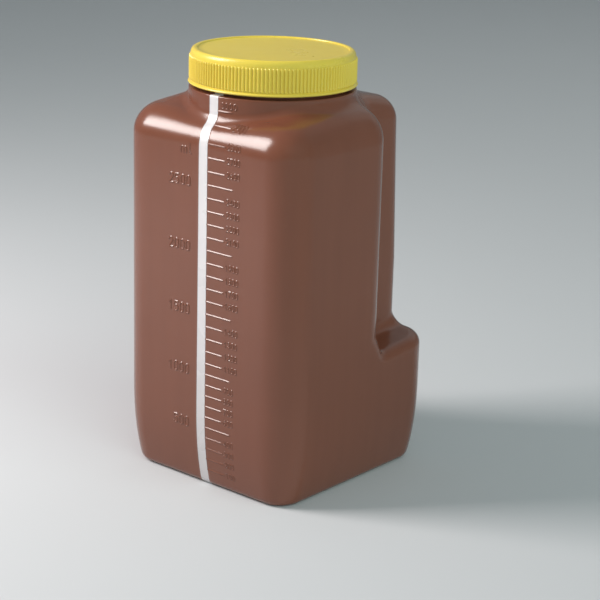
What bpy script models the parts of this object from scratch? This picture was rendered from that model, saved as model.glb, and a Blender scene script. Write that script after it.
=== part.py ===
"""Three-litre urine collection bottle with a sight strip, a screw cap and a sealing liner.

Metres, +Z up.  The origin is the middle of the base, on the surface that the bottle stands on.
-Y is the front face with the sight strip, +Y is the back with the hand grip, and the bottle
is the same on its left and right apart from the sight strip.
"""

import math

import bmesh
import bpy
import numpy as np

# Body
HALF_WIDTH = 0.0640
HALF_DEPTH = 0.0660
CORNER_RADIUS = 0.0197
WALL = 0.0015
HEEL_RADIUS = 0.0040
TAPER_TOP_Z = 0.0502
TAPER_INSET = 0.0054
TAPER_POWER = 2.5
FOOT_RING_WIDTH = 0.15
FLOOR_MIDDLE = 0.45
FLOOR_EDGE = 0.78
PUSH_UP = 0.0025

# Grip: a recess on each side leaves a narrow column at the back, above a ledge
GRIP_FRONT_Y = 0.0182
GRIP_WALL_SLOPE = 0.25
GRIP_HALF_WIDTH = 0.0392
GRIP_DRAFT = 0.033
GRIP_DRAFT_Z = 0.1180
GRIP_EDGE_RADIUS = 0.0128
GRIP_FILLET = 0.0118
LEDGE_Z = 0.0786
LEDGE_SIDE_SLOPE = 0.05
LEDGE_BACK_SLOPE = 0.08
LEDGE_EDGE_RADIUS = 0.0058
LEDGE_FILLET = 0.0050
LEDGE_BLEND_HEIGHT = 0.0080
LEDGE_BLEND_START = 0.25

# Shoulder, collar and neck
NECK_Y = -0.0093
COLLAR_RADIUS = 0.0468
COLLAR_TOP_Z = 0.2236
COLLAR_FILLET = 0.0044
SIDE_RIM_Z = 0.2091
FRONT_RIM_Z = 0.2135
BACK_RIM_Z = 0.2122
SHOULDER_TOP_Z = 0.2183
SHOULDER_FRONT_TOP_Z = 0.2110
SHOULDER_RADIUS = 0.0122
SHOULDER_FRONT_RADIUS = 0.0160
SHOULDER_SLOPE = 0.30
CORNER_POWER = 8
FRONT_FACING = (0.50, 0.98)
BACK_FACING = (0.30, 0.90)
NECK_RADIUS = 0.0424
BORE_RADIUS = 0.0404
RIM_Z = 0.2410
EDGE_ROUND = 0.0006

# Coarse thread: a right-hand ridge outside the neck and another inside the cap
PITCH = 0.0060
THREAD_FOOT_Z = 0.2283
THREAD_BURY = 0.0004
NECK_THREAD_HEIGHT = 0.0017
NECK_THREAD_TURNS = (0.0, 1.5)
CAP_THREAD_HEIGHT = 0.0015
CAP_THREAD_TURNS = (-0.40, 0.95)
THREAD_ROOT_HALF = 0.0012
THREAD_CREST_HALF = 0.0005
THREAD_FADE_TURNS = 0.06
THREAD_END_SHARE = 0.15
THREAD_STEPS_PER_TURN = 36

# Cap and liner
CAP_BOTTOM_Z = 0.2254
CAP_HEIGHT = 0.01935
CAP_BAND_RADIUS = 0.0459
CAP_RIB_RADIUS = 0.0468
CAP_BEAD_RADIUS = 0.0473
CAP_BEAD_HEIGHT = 0.0024
CAP_INNER_RADIUS = 0.0444
CAP_CEILING = 0.0172
CAP_RECESS_RADIUS = 0.0420
CAP_RECESS_DEPTH = 0.0007
CAP_SHOULDER = 0.0016
RIB_COUNT = 138
RIB_BOTTOM = 0.0030
RIB_TOP = 0.0155
RIB_CREST = (0.35, 0.65)
TURN_STEPS = 60
GAP = 0.0003
LINER_RADIUS = 0.0439
LINER_THICKNESS = 0.0010

# Graduation: raised lines beside the strip, at the heights that the bottle fills to
MARK_STEP_ML = 100
MARK_LAST_ML = 2600
MARK_LONG_ML = 500
MARK_SHORT = 0.0116
MARK_LONG = 0.0182
MARK_RELIEF = 0.0004
MARK_SINK = 0.0003
MARK_FOOT_HALF = 0.00036
MARK_CREST_HALF = 0.00016
MARK_CLEARANCE = 0.0004
FILL_LEVELS = 90

# Sight strip
STRIP_CENTRE_X = 0.0009
STRIP_HALF_WIDTH = 0.00315
STRIP_END_Y = -0.0440

# Skin: azimuths in degrees with the steps to the next one, and cones about the neck's axis
AZIMUTH_STOPS = [(-90, 3), (-52, 5), (-29, 3), (14, 5), (34, 4), (48, 3), (60, 4), (74, 2), (90, 0)]
HEEL_STEPS = (0.15, 0.45, 0.90, 1.80)
LOW_Z = 0.020
LEDGE_APEX_Z = 0.040
SHOULDER_APEX_Z = 0.160
STEEPEST = 1.35
LAST_SLOPE = 1.37
NEAREST_REACH = 0.004
FARTHEST_REACH = 0.130
HALVINGS = 40
MERGE = 0.00001
SHARP_ANGLE = 35

# Colours
BROWN = (0.215, 0.085, 0.058, 1.0)
MILKY_WHITE = (0.78, 0.77, 0.78, 1.0)
YELLOW = (0.76, 0.60, 0.10, 1.0)
FOAM_WHITE = (0.85, 0.85, 0.83, 1.0)


def clear_scene():
    """Remove every object of the open scene."""
    for item in list(bpy.context.scene.objects):
        bpy.data.objects.remove(item, do_unlink=True)


def make_collection(name):
    collection = bpy.data.collections.new(name)
    bpy.context.scene.collection.children.link(collection)
    return collection


def make_material(name, colour, roughness, metallic=0.0):
    material = bpy.data.materials.new(name)
    material.use_nodes = True
    shader = material.node_tree.nodes["Principled BSDF"]
    shader.inputs["Base Color"].default_value = colour
    shader.inputs["Roughness"].default_value = roughness
    shader.inputs["Metallic"].default_value = metallic
    return material


def add_object(name, mesh, collection, material=None):
    item = bpy.data.objects.new(name, mesh)
    collection.objects.link(item)
    if material is not None:
        mesh.materials.append(material)
    return item


def add_guide(name, mesh, collection):
    """A cutter or a joined shape, which isn't a piece of its own."""
    guide = add_object(name, mesh, collection)
    guide.hide_render = True
    guide.display_type = "WIRE"
    return guide


def add_boolean(item, guide, operation):
    modifier = item.modifiers.new(guide.name, "BOOLEAN")
    modifier.operation = operation
    modifier.solver = "EXACT"
    modifier.object = guide


# Signed distances, negative inside

def meet(first, second, radius):
    """Where both shapes are, with the edge between them rounded."""
    u = np.maximum(first + radius, 0)
    v = np.maximum(second + radius, 0)
    return np.minimum(-radius, np.maximum(first, second)) + np.hypot(u, v)


def join(first, second, radius):
    """Both shapes together, with a fillet between them."""
    return -meet(-first, -second, radius)


def taper(z):
    """How far the walls have drawn in at height z, towards the base."""
    return TAPER_INSET * (np.maximum(TAPER_TOP_Z - z, 0) / TAPER_TOP_Z) ** TAPER_POWER


def wall_section(x, y, z):
    """The upright walls: a rectangle with rounded corners."""
    return meet(np.abs(x) - HALF_WIDTH, np.abs(y) - HALF_DEPTH, CORNER_RADIUS) + taper(z)


def grip_recess(x, y, z):
    """The hollow beside the grip column, the same on the left and the right."""
    half_width = GRIP_HALF_WIDTH - GRIP_DRAFT * np.maximum(z - GRIP_DRAFT_Z, 0)
    beside = half_width - np.abs(x)
    behind = GRIP_FRONT_Y + GRIP_WALL_SLOPE * (HALF_WIDTH - np.abs(x)) - y
    ledge_height = (LEDGE_Z - LEDGE_SIDE_SLOPE * (np.abs(x) - GRIP_HALF_WIDTH)
                    + LEDGE_BACK_SLOPE * (y - HALF_DEPTH))
    return meet(meet(beside, behind, GRIP_FILLET), ledge_height - z, LEDGE_FILLET)


def recess_edge_radius(z):
    """The recess's edges are tighter along the ledge than up the grip."""
    rise = np.clip((z - LEDGE_Z) / LEDGE_BLEND_HEIGHT + LEDGE_BLEND_START, 0, 1)
    return LEDGE_EDGE_RADIUS + (GRIP_EDGE_RADIUS - LEDGE_EDGE_RADIUS) * rise


def eased(value, start, end):
    """0 below start and 1 above end, with a smooth change between them."""
    share = np.clip((value - start) / (end - start), 0, 1)
    return share * share * (3 - 2 * share)


def front_share(away_y):
    """0 at the sides and the back of the neck, rising to 1 at its front."""
    return eased(-away_y, *FRONT_FACING)


def shoulder_height(reach, away_x, away_y):
    """Height of the shoulder, which runs straight from the walls' upper rim to the collar."""
    depth = np.where(away_y < 0, HALF_DEPTH + NECK_Y, HALF_DEPTH - NECK_Y)
    wall_reach = ((np.abs(away_x) / HALF_WIDTH) ** CORNER_POWER
                  + (np.abs(away_y) / depth) ** CORNER_POWER) ** (-1 / CORNER_POWER)
    outward = np.maximum((reach - COLLAR_RADIUS) / (wall_reach - COLLAR_RADIUS), 0)
    front = front_share(away_y)
    rim = (SIDE_RIM_Z + (FRONT_RIM_Z - SIDE_RIM_Z) * front
           + (BACK_RIM_Z - SIDE_RIM_Z) * eased(away_y, *BACK_FACING))
    top = SHOULDER_TOP_Z + (SHOULDER_FRONT_TOP_Z - SHOULDER_TOP_Z) * front
    return rim + (top - rim) * (1 - outward)


def body_distance(x, y, z):
    """The blown body with its shoulder and collar, without the neck."""
    reach = np.maximum(np.hypot(x, y - NECK_Y), EDGE_ROUND)
    away_y = (y - NECK_Y) / reach
    shoulder = (z - shoulder_height(reach, x / reach, away_y)) / np.hypot(1, SHOULDER_SLOPE)
    radius = (SHOULDER_RADIUS
              + (SHOULDER_FRONT_RADIUS - SHOULDER_RADIUS) * front_share(away_y))
    block = meet(wall_section(x, y, z), shoulder, radius)
    body = meet(block, -grip_recess(x, y, z), recess_edge_radius(z))
    collar = meet(reach - COLLAR_RADIUS, z - COLLAR_TOP_Z, EDGE_ROUND)
    return meet(join(body, collar, COLLAR_FILLET), -z, HEEL_RADIUS)


def foot_distance(x, y, z):
    """The flat part of the base, inside the heel's rounding."""
    return wall_section(x, y, z) + HEEL_RADIUS


def azimuths():
    """Directions round the neck's axis, closer together at the corners."""
    half = []
    for (start, count), (end, _) in zip(AZIMUTH_STOPS, AZIMUTH_STOPS[1:]):
        half += [start + (end - start) * step / count for step in range(count)]
    other = [180 - angle for angle in half[1:]]
    return np.radians(np.array(half + [90] + other[::-1]))


def ring_on(distance, height, slope, offset=0.0):
    """Points where a cone about the neck's axis crosses the surface at this offset."""
    turn = azimuths()
    near = np.full(turn.shape, NEAREST_REACH)
    far = np.full(turn.shape, FARTHEST_REACH)
    for _ in range(HALVINGS):
        reach = (near + far) / 2
        inside = distance(reach * np.cos(turn), NECK_Y + reach * np.sin(turn),
                          height + slope * reach) < offset
        near = np.where(inside, reach, near)
        far = np.where(inside, far, reach)
    reach = (near + far) / 2
    return np.column_stack((reach * np.cos(turn), NECK_Y + reach * np.sin(turn),
                            height + slope * reach))


def circle(radius, z):
    turn = azimuths()
    return np.column_stack((radius * np.cos(turn), NECK_Y + radius * np.sin(turn),
                            np.full(turn.shape, z)))


def scaled(ring, factor, z):
    """A ring drawn in towards the neck's axis and put at height z."""
    centre = np.array((0, NECK_Y))
    flat = centre + (ring[:, :2] - centre) * factor
    return np.column_stack((flat, np.full(len(ring), z)))


def cones(coarse):
    """Height and slope of each cone from the heel to the collar's edge."""
    heel = [(share * HEEL_RADIUS, 0) for share in HEEL_STEPS]
    low = [(LOW_Z, 0)] + [(LEDGE_APEX_Z, slope) for slope in (0, 0.20)]
    ledge = [(LEDGE_APEX_Z, slope) for slope in np.linspace(0.34, 0.96, 13)]
    grip = [(LEDGE_APEX_Z, 1.12), (LEDGE_APEX_Z, STEEPEST)]
    change = [(LEDGE_APEX_Z + (SHOULDER_APEX_Z - LEDGE_APEX_Z) * t, STEEPEST * (1 - t))
              for t in (0.35, 0.7, 1)]
    shoulder = [(SHOULDER_APEX_Z, slope) for slope in np.linspace(0.22, 1.30, 17)]
    if coarse:
        return heel[3:] + low + ledge + grip + change + shoulder[::2]
    return heel + low + ledge + grip + change + shoulder + [(SHOULDER_APEX_Z, LAST_SLOPE)]


def grid_mesh(name, rings):
    """A closed skin through rings of equal count, with a flat face on the first and last."""
    mesh = bpy.data.meshes.new(name)
    skin = bmesh.new()
    rows = [[skin.verts.new(point) for point in ring] for ring in rings]
    count = len(rows[0])
    for lower, upper in zip(rows, rows[1:]):
        for here in range(count):
            after = (here + 1) % count
            skin.faces.new((lower[here], lower[after], upper[after], upper[here]))
    skin.faces.new(rows[0])
    skin.faces.new(rows[-1])
    bmesh.ops.recalc_face_normals(skin, faces=skin.faces)
    skin.to_mesh(mesh)
    skin.free()
    return mesh


def box_mesh(name, low, high):
    mesh = bpy.data.meshes.new(name)
    box = bmesh.new()
    bmesh.ops.create_cube(box, size=1.0)
    for vert in box.verts:
        vert.co = [(a + b) / 2 + (b - a) * c for a, b, c in zip(low, high, vert.co)]
    box.to_mesh(mesh)
    box.free()
    return mesh


def bottle_rings():
    """Rings from the middle of the base, up the outside, over the rim and down the inside."""
    foot = ring_on(foot_distance, 0.0, 0.0)
    ring_end = 1 - FOOT_RING_WIDTH
    base = [scaled(foot, FLOOR_MIDDLE, PUSH_UP), scaled(foot, FLOOR_EDGE, PUSH_UP),
            scaled(foot, ring_end, 0.0), foot]
    outside = [ring_on(body_distance, height, slope) for height, slope in cones(False)]
    neck = [circle(COLLAR_RADIUS - EDGE_ROUND, COLLAR_TOP_Z),
            circle(NECK_RADIUS, COLLAR_TOP_Z + EDGE_ROUND / 2),
            circle(NECK_RADIUS, RIM_Z - EDGE_ROUND),
            circle(NECK_RADIUS - EDGE_ROUND, RIM_Z),
            circle(BORE_RADIUS + EDGE_ROUND, RIM_Z),
            circle(BORE_RADIUS, RIM_Z - EDGE_ROUND),
            circle(BORE_RADIUS, COLLAR_TOP_Z - WALL),
            circle(COLLAR_RADIUS - WALL - EDGE_ROUND, COLLAR_TOP_Z - WALL - EDGE_ROUND / 2)]
    inside = [ring_on(body_distance, height, slope, -WALL) for height, slope in cones(True)]
    floor = [scaled(foot, 1 - FOOT_RING_WIDTH / 4, WALL), scaled(foot, ring_end, WALL),
             scaled(foot, FLOOR_EDGE, PUSH_UP + WALL),
             scaled(foot, FLOOR_MIDDLE, PUSH_UP + WALL)]
    return base + outside + neck + inside[::-1] + floor


def mark_heights():
    """Height of each mark, from the volume between the walls below it."""
    levels = np.linspace(WALL, COLLAR_TOP_Z, FILL_LEVELS)
    areas = []
    for z in levels:
        ring = ring_on(body_distance, max(z, WALL + GAP), 0.0, -WALL)
        x, y = ring[:, 0], ring[:, 1]
        areas.append(abs(np.sum(x * np.roll(y, -1) - y * np.roll(x, -1))) / 2)
    areas = np.array(areas)
    layers = (areas[1:] + areas[:-1]) / 2 * np.diff(levels)
    fills = np.concatenate(((0,), np.cumsum(layers))) - areas[0] * FLOOR_EDGE ** 2 * PUSH_UP
    marks = range(MARK_STEP_ML, MARK_LAST_ML + 1, MARK_STEP_ML)
    return [(mark, float(np.interp(mark * 1e-6, fills, levels))) for mark in marks]


def marks_mesh(name):
    """A closed bar for each mark, tapered outwards and sunk into the front wall."""
    points = []
    faces = []
    start = STRIP_CENTRE_X + STRIP_HALF_WIDTH + GAP + MARK_CLEARANCE
    for mark, z in mark_heights():
        length = MARK_SHORT if mark % MARK_LONG_ML else MARK_LONG
        first = len(points)
        for x in (start, start + length):
            for half, out in ((MARK_FOOT_HALF, -MARK_SINK), (MARK_CREST_HALF, MARK_RELIEF)):
                for level in (z - half, z + half):
                    points.append((x, taper(level) - HALF_DEPTH - out, level))
        corners = ((0, 1, 3, 2), (4, 6, 7, 5), (0, 4, 5, 1), (2, 3, 7, 6), (0, 2, 6, 4),
                   (1, 5, 7, 3))
        faces += [tuple(first + corner for corner in face) for face in corners]
    mesh = bpy.data.meshes.new(name)
    mesh.from_pydata(points, [], faces)
    tidy = bmesh.new()
    tidy.from_mesh(mesh)
    bmesh.ops.recalc_face_normals(tidy, faces=tidy.faces)
    tidy.to_mesh(mesh)
    tidy.free()
    return mesh


def thread_mesh(name, wall_radius, height, turns, axial_shift, base):
    """A ridge that follows the pitch, and fades out at both ends."""
    first, last = turns
    count = round((last - first) * THREAD_STEPS_PER_TURN)
    inward = math.copysign(1.0, height)
    mesh = bpy.data.meshes.new(name)
    ridge = bmesh.new()
    rows = []
    for step in range(count + 1):
        turn = first + (last - first) * step / count
        fade = min(1.0, THREAD_END_SHARE + min(turn - first, last - turn) / THREAD_FADE_TURNS)
        z = base + axial_shift + PITCH * turn
        root = wall_radius - inward * THREAD_BURY
        crest = wall_radius + height * fade
        profile = ((root, -THREAD_ROOT_HALF), (crest, -THREAD_CREST_HALF * fade),
                   (crest, THREAD_CREST_HALF * fade), (root, THREAD_ROOT_HALF))
        angle = 2 * math.pi * turn
        rows.append([ridge.verts.new((radius * math.cos(angle), radius * math.sin(angle), z + up))
                     for radius, up in profile])
    for lower, upper in zip(rows, rows[1:]):
        for here in range(4):
            after = (here + 1) % 4
            ridge.faces.new((lower[here], lower[after], upper[after], upper[here]))
    ridge.faces.new(rows[0])
    ridge.faces.new(rows[-1])
    bmesh.ops.recalc_face_normals(ridge, faces=ridge.faces)
    ridge.to_mesh(mesh)
    ridge.free()
    return mesh


def turned_object(name, profile, collection, material):
    """An outline of radius and height, from the middle of the top round to the middle below."""
    mesh = bpy.data.meshes.new(name)
    points = [(radius, 0.0, z) for radius, z in profile]
    mesh.from_pydata(points, [(i, i + 1) for i in range(len(points) - 1)], [])
    item = add_object(name, mesh, collection, material)
    screw = item.modifiers.new("turn", "SCREW")
    screw.axis = "Z"
    screw.steps = TURN_STEPS
    screw.render_steps = TURN_STEPS
    screw.use_merge_vertices = True
    screw.merge_threshold = MERGE
    return item


def arc(centre, radius, start, end, count):
    """Points of a round corner in the radius and height plane, angles in degrees."""
    angles = [math.radians(start + (end - start) * step / count) for step in range(count + 1)]
    return [(centre[0] + radius * math.cos(a), centre[1] + radius * math.sin(a)) for a in angles]


def make_bottle(parts, cutters, material):
    bottle = add_object("bottle", grid_mesh("bottle", bottle_rings()), parts, material)
    ridge = thread_mesh("neck_thread", NECK_RADIUS, NECK_THREAD_HEIGHT, NECK_THREAD_TURNS,
                        0.0, THREAD_FOOT_Z)
    thread = add_guide("neck_thread", ridge, cutters)
    thread.location = (0, NECK_Y, 0)
    add_boolean(bottle, thread, "UNION")
    return bottle, thread


def strip_box(name, half_width, end_y):
    low = (STRIP_CENTRE_X - half_width, -2 * HALF_DEPTH, -WALL)
    high = (STRIP_CENTRE_X + half_width, end_y, RIM_Z + WALL)
    return box_mesh(name, low, high)


def make_sight_strip(bottle, thread, parts, cutters, material):
    """The strip is the piece of the wall that fills the slot down the front."""
    strip = add_object("sight_strip", grid_mesh("sight_strip", bottle_rings()), parts, material)
    add_boolean(strip, thread, "UNION")
    keep = strip_box("strip_limits", STRIP_HALF_WIDTH, STRIP_END_Y - GAP)
    add_boolean(strip, add_guide("strip_limits", keep, cutters), "INTERSECT")
    slot = strip_box("strip_slot", STRIP_HALF_WIDTH + GAP, STRIP_END_Y)
    add_boolean(bottle, add_guide("strip_slot", slot, cutters), "DIFFERENCE")
    add_boolean(bottle, add_guide("graduation", marks_mesh("graduation"), cutters), "UNION")


def rib_ring_mesh(name):
    """A toothed disc whose teeth are the cap's grip ribs."""
    mesh = bpy.data.meshes.new(name)
    disc = bmesh.new()
    outline = []
    valley = CAP_BAND_RADIUS + GAP / 2
    for rib in range(RIB_COUNT):
        for part, radius in ((0.0, valley), (RIB_CREST[0], CAP_RIB_RADIUS),
                             (RIB_CREST[1], CAP_RIB_RADIUS)):
            angle = 2 * math.pi * (rib + part) / RIB_COUNT
            outline.append((radius * math.cos(angle), radius * math.sin(angle)))
    face = disc.faces.new([disc.verts.new((x, y, RIB_BOTTOM)) for x, y in outline])
    raised = bmesh.ops.extrude_face_region(disc, geom=[face])
    verts = [item for item in raised["geom"] if isinstance(item, bmesh.types.BMVert)]
    bmesh.ops.translate(disc, verts=verts, vec=(0, 0, RIB_TOP - RIB_BOTTOM))
    bmesh.ops.recalc_face_normals(disc, faces=disc.faces)
    disc.to_mesh(mesh)
    disc.free()
    return mesh


def make_screw_cap(parts, cutters, material, axis):
    shoulder_centre = (CAP_BAND_RADIUS - CAP_SHOULDER, CAP_HEIGHT - CAP_SHOULDER)
    disc_z = CAP_HEIGHT - CAP_RECESS_DEPTH
    outside = [(0, disc_z), (CAP_RECESS_RADIUS - CAP_RECESS_DEPTH, disc_z),
               (CAP_RECESS_RADIUS, CAP_HEIGHT)]
    outside += arc(shoulder_centre, CAP_SHOULDER, 90, 0, 4)
    bead = [(CAP_BAND_RADIUS, CAP_BEAD_HEIGHT), (CAP_BEAD_RADIUS - EDGE_ROUND, CAP_BEAD_HEIGHT),
            (CAP_BEAD_RADIUS, CAP_BEAD_HEIGHT - EDGE_ROUND), (CAP_BEAD_RADIUS, EDGE_ROUND),
            (CAP_BEAD_RADIUS - EDGE_ROUND, 0)]
    inside = [(CAP_INNER_RADIUS, 0), (CAP_INNER_RADIUS, CAP_CEILING), (0, CAP_CEILING)]
    cap = turned_object("screw_cap", outside + bead + inside, parts, material)
    cap.parent = axis
    cap.location = (0, 0, CAP_BOTTOM_Z)
    return cap


def add_cap_details(cap, cutters, axis):
    """Joins the grip ribs and the inner thread to the turned cap."""
    ribs = add_guide("grip_ribs", rib_ring_mesh("grip_ribs"), cutters)
    bore = bpy.data.meshes.new("rib_bore")
    tool = bmesh.new()
    bmesh.ops.create_cone(tool, cap_ends=True, segments=TURN_STEPS, depth=CAP_HEIGHT * 2,
                          radius1=CAP_INNER_RADIUS + GAP * 2, radius2=CAP_INNER_RADIUS + GAP * 2)
    tool.to_mesh(bore)
    tool.free()
    add_boolean(ribs, add_guide("rib_bore", bore, cutters), "DIFFERENCE")
    ridge = thread_mesh("cap_thread", CAP_INNER_RADIUS, -CAP_THREAD_HEIGHT, CAP_THREAD_TURNS,
                        PITCH / 2, THREAD_FOOT_Z - CAP_BOTTOM_Z)
    thread = add_guide("cap_thread", ridge, cutters)
    for guide in (ribs, thread, bpy.data.objects["rib_bore"]):
        guide.parent = axis
        guide.location = (0, 0, CAP_BOTTOM_Z)
    add_boolean(cap, ribs, "UNION")
    add_boolean(cap, thread, "UNION")


def make_liner(parts, material, axis):
    top = CAP_BOTTOM_Z + CAP_CEILING - GAP
    bottom = top - LINER_THICKNESS
    bevel = LINER_THICKNESS / 5
    profile = [(0, top), (LINER_RADIUS - bevel, top), (LINER_RADIUS, top - bevel),
               (LINER_RADIUS, bottom + bevel), (LINER_RADIUS - bevel, bottom), (0, bottom)]
    liner = turned_object("cap_liner", profile, parts, material)
    liner.parent = axis
    return liner


def shade(item):
    item.data.shade_smooth()
    item.data.set_sharp_from_angle(angle=math.radians(SHARP_ANGLE))


def main():
    clear_scene()
    parts = make_collection("urine_bottle")
    cutters = make_collection("cutters")
    brown = make_material("brown_polyethylene", BROWN, 0.38)
    white = make_material("natural_polyethylene", MILKY_WHITE, 0.40)
    yellow = make_material("yellow_polyethylene", YELLOW, 0.35)
    foam = make_material("liner_foam", FOAM_WHITE, 0.80)
    axis = bpy.data.objects.new("cap_axis", None)
    parts.objects.link(axis)
    axis.location = (0, NECK_Y, 0)
    bottle, thread = make_bottle(parts, cutters, brown)
    make_sight_strip(bottle, thread, parts, cutters, white)
    cap = make_screw_cap(parts, cutters, yellow, axis)
    add_cap_details(cap, cutters, axis)
    make_liner(parts, foam, axis)
    for name in ("bottle", "sight_strip", "screw_cap", "cap_liner"):
        shade(bpy.data.objects[name])


main()
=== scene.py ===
import math

import bmesh
import bpy
import numpy as np
from bpy.props import FloatProperty, FloatVectorProperty, IntProperty, PointerProperty
from mathutils import Matrix, Vector


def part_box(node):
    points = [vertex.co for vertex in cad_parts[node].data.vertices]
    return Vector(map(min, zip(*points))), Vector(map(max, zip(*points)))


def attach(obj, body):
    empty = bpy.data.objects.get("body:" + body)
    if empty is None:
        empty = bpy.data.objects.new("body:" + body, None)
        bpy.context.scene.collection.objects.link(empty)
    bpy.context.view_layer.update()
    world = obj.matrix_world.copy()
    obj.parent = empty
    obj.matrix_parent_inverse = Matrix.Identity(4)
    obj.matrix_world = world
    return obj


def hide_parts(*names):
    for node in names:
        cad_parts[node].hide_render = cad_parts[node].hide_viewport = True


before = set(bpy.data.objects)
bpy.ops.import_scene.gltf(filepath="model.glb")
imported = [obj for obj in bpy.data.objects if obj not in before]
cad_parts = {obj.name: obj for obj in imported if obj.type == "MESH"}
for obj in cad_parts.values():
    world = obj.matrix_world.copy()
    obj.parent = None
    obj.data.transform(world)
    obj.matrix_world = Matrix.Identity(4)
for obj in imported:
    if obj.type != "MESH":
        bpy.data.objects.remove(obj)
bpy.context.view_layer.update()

bl_info = {
    "name": "Urine collection bottle",
    "version": (1, 0, 0),
    "blender": (4, 5, 0),
    "location": "3D View > Sidebar > Bottle",
    "description": "Builds a graduated three-litre bottle with a sight strip and a screw cap",
    "category": "Object",
}

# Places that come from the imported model
BODY_LOW, BODY_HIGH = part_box("bottle")
STRIP_LOW, STRIP_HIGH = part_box("sight_strip")
CAP_LOW, CAP_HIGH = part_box("screw_cap")
LINER_LOW, LINER_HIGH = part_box("cap_liner")
NECK_Y = (CAP_LOW[1] + CAP_HIGH[1]) / 2
RIM_Z = BODY_HIGH[2]

# Body, metres
HEEL_RADIUS = 0.0040
TAPER_TOP_Z = 0.0502
TAPER_INSET = 0.0054
TAPER_POWER = 2.5
FOOT_RING_END = 0.85
FLOOR_STEP = 0.78
PUSH_UP = 0.0025
GRIP_WALL_SLOPE = 0.25
GRIP_DRAFT = 0.033
GRIP_DRAFT_Z = 0.1180
GRIP_EDGE_RADIUS = 0.0128
GRIP_FILLET = 0.0118
LEDGE_SIDE_SLOPE = 0.05
LEDGE_BACK_SLOPE = 0.08
LEDGE_EDGE_RADIUS = 0.0058
LEDGE_FILLET = 0.0050
LEDGE_BLEND_HEIGHT = 0.0080
LEDGE_BLEND_START = 0.25
COLLAR_FILLET = 0.0044
SIDE_RIM_Z = 0.2091
FRONT_RIM_Z = 0.2135
BACK_RIM_Z = 0.2122
SHOULDER_TOP_Z = 0.2183
SHOULDER_FRONT_TOP_Z = 0.2110
SHOULDER_FRONT_RADIUS = 0.0160
SHOULDER_SLOPE = 0.30
CORNER_POWER = 8
STRIP_BEND = 0.0019
STRIP_BEND_FROM_Z = 0.2010
STRIP_BEND_TO_Z = 0.2130
NECK_RADIUS = 0.0424
BORE_RADIUS = 0.0404
EDGE_ROUND = 0.0006
SEAM_HALF = 0.0004
SEAM_DEPTH = 0.00012

# Where the front and the back begin and end, as shares of the way from the side
FRONT_FACING = (0.50, 0.98)
BACK_FACING = (0.30, 0.90)

# Skin: rows fan out about the neck, and rings lie on cones about its axis
STRIP_COLUMNS = 6
LEFT_OF_STRIP = [-0.0080, -0.0060, -0.0040]
RIGHT_OF_STRIP = [0.0060, 0.0080]
OUTERMOST_BEND = 1 / 3
NEXT_BEND = 0.7
ACROSS_SEAM = [0.0024, 0.0012, SEAM_HALF, 0.0, -SEAM_HALF, -0.0012, -0.0024]
# Angles about the neck in degrees, and how many rows follow each
AZIMUTH_STOPS = [(-79, 18), (-52, 26), (-29, 22), (14, 26), (34, 20), (48, 14), (60, 16),
                 (74, 10), (86, 0)]
# Apexes and slopes of the cones, and the search for the surface along each row
HEEL_STEPS = (0.04, 0.12, 0.25, 0.4, 0.6, 0.8, 1.1, 1.6, 2.4)
LOW_Z = 0.013
LEDGE_APEX_Z = 0.040
SHOULDER_APEX_Z = 0.160
STEEPEST = 1.35
NEAREST_REACH = 0.004
FARTHEST_REACH = 0.130
HALVINGS = 36
# Rings of the base, the collar and the neck
STRIP_START_RING = 3
FLOOR_MIDDLE = 0.5
INNER_FLOOR_END = 0.97
LOWEST_INNER_WALLS = 1.3
COLLAR_SIDE_Z = (0.2212, 0.2219)
COLLAR_EDGE_ANGLES = (30, 60, 90)
COLLAR_DRAW_IN = 0.4
NECK_FOOT_RISE = 0.00005
NECK_RINGS = 64
ANGLE_SMOOTH = math.radians(40)

# Threads, right-handed
PITCH = 0.0060
THREAD_FOOT_Z = 0.2283
THREAD_ROOT_HALF = 0.0012
THREAD_CREST_HALF = 0.0005
THREAD_FADE_TURNS = 0.06
THREAD_END_SHARE = 0.15
NECK_THREAD_HEIGHT = 0.0017
NECK_THREAD_TURNS = (0.0, 1.5)
CAP_THREAD_HEIGHT = 0.0015
CAP_THREAD_TURNS = (-0.40, 0.95)

# Cap, heights above its lower edge
CAP_INNER_RADIUS = 0.0444
CAP_CEILING = 0.0172
CAP_BEAD_HEIGHT = 0.0017
CAP_CREST_RADIUS = 0.0437
CAP_RECESS_RADIUS = 0.0420
CAP_RECESS_DEPTH = 0.0007
CAP_SHOULDER_DROP = 0.0032
RIB_BOTTOM = 0.0021
RIB_TOP = 0.0155
RIB_COLUMNS = 8
RIB_END = 0.0010
RIB_END_STEPS = (0.0, 0.02, 0.1, 0.25, 0.45, 0.7, 1.0)
RIB_RINGS = 5
RIB_HALF_SHARE = 0.32
CAP_SOFT_EDGE = 0.0003
CAP_TOP_RADII = (0.006, 0.024, 0.038)
CAP_CEILING_RADII = (0.020, 0.006)
CAP_SHOULDER_RINGS = 10
CAP_BEAD_RINGS = 7
CAP_BEAD_ANGLE = 75
CAP_THREAD_RINGS = 44

# Liner
LINER_RADII = (0.004, 0.022)
LINER_EDGE = 0.0002
LINER_PRESSED = 0.0002
LINER_COLUMNS = 180

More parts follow.
